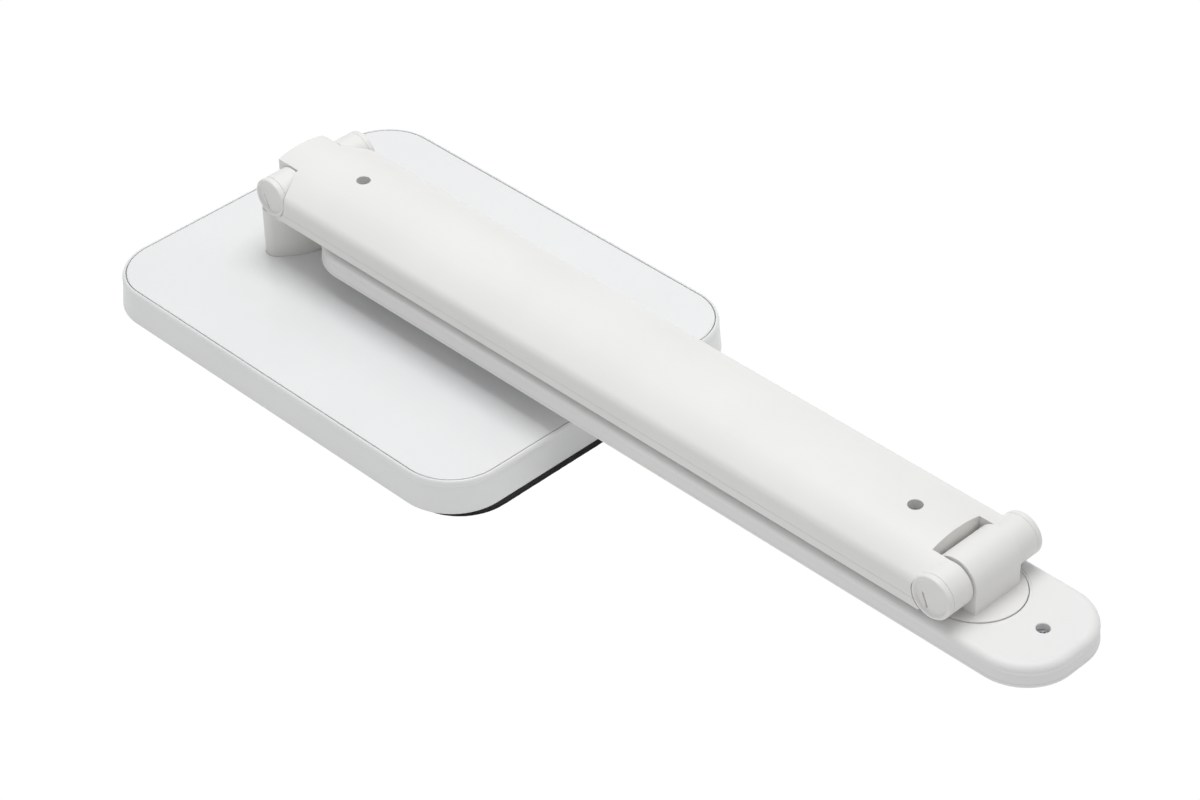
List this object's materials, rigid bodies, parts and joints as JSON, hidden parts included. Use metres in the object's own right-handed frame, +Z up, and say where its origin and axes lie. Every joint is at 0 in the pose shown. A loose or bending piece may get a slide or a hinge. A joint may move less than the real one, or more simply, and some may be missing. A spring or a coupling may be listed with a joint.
{
  "type": "folding desk lamp",
  "caption": "Folding desk lamp stored flat: weighted base, hinged flat arm and a long light head that tilts and swivels.",
  "frame": {"origin": "centre of the underside of the anti-slip pad, on the table", "axes": "+X along the folded arm from the post hinge to the head hinge, +Z up, both hinge axes along Y"},
  "size_m": [0.4188, 0.152, 0.0558],
  "materials": {
    "gloss_white": "glossy white ABS",
    "gloss_white_panel": "glossy white panel",
    "satin_white": "satin warm white ABS",
    "inner_plastic": "plain white ABS",
    "black_foam": "black closed-cell foam",
    "black_plastic": "black nylon",
    "cable_jacket": "black jacket",
    "circuit_board": "green solder mask",
    "washer_nylon": "natural nylon",
    "bracket_steel": "zinc plated sheet steel",
    "screw_steel": "zinc plated steel",
    "weight_steel": "plain steel plate",
    "opal_plastic": "opal light diffuser",
    "reflector_white": "matt white reflector",
    "led_board_alu": "aluminium-core board with white mask",
    "led_yellow": "phosphor coated LED"
  },
  "bodies": {
    "base": {"anti_slip_pad": "black_foam", "base_bottom_plate": "inner_plastic", "base_screws": "screw_steel", "base_shell": "gloss_white", "base_top_panel": "gloss_white_panel", "counterweight": "weight_steel", "control_board": "circuit_board", "dc_jack": "black_plastic", "base_cable": "cable_jacket", "post_column": "satin_white", "post_bracket": "bracket_steel", "post_screws": "screw_steel", "hinge_a_pin": "screw_steel", "hinge_a_nut": "screw_steel", "hinge_a_caps": "satin_white"},
    "arm": {"hinge_a_washers": "washer_nylon", "arm_top_shell": "satin_white", "arm_bottom_cover": "satin_white", "arm_frame": "bracket_steel", "arm_screws": "screw_steel", "arm_cable": "cable_jacket", "hinge_b_pin": "screw_steel", "hinge_b_nut": "screw_steel", "hinge_b_caps": "satin_white", "hinge_b_washers": "washer_nylon"},
    "swivel": {"swivel_knuckle": "satin_white", "swivel_retainer": "screw_steel", "swivel_screw": "screw_steel"},
    "head": {"head_front_frame": "gloss_white", "head_back_cover": "gloss_white", "head_screws": "screw_steel", "diffuser": "opal_plastic", "reflector_tray": "reflector_white", "led_board": "led_board_alu", "led_chips": "led_yellow"}
  },
  "joints": [
    {"name": "arm_lift", "type": "hinge", "parent": "base", "child": "arm", "pos_m": [-0.0553, 0, 0.046], "axis": [0, -1, 0], "range_deg": [0, 120]},
    {"name": "head_tilt", "type": "hinge", "parent": "arm", "child": "swivel", "pos_m": [0.2747, 0, 0.046], "axis": [0, -1, 0], "range_deg": [0, 175]},
    {"name": "head_swivel", "type": "hinge", "parent": "swivel", "child": "head", "pos_m": [0.2747, 0, 0.034], "axis": [0, 0, 1], "range_deg": [-90, 90]}
  ]
}
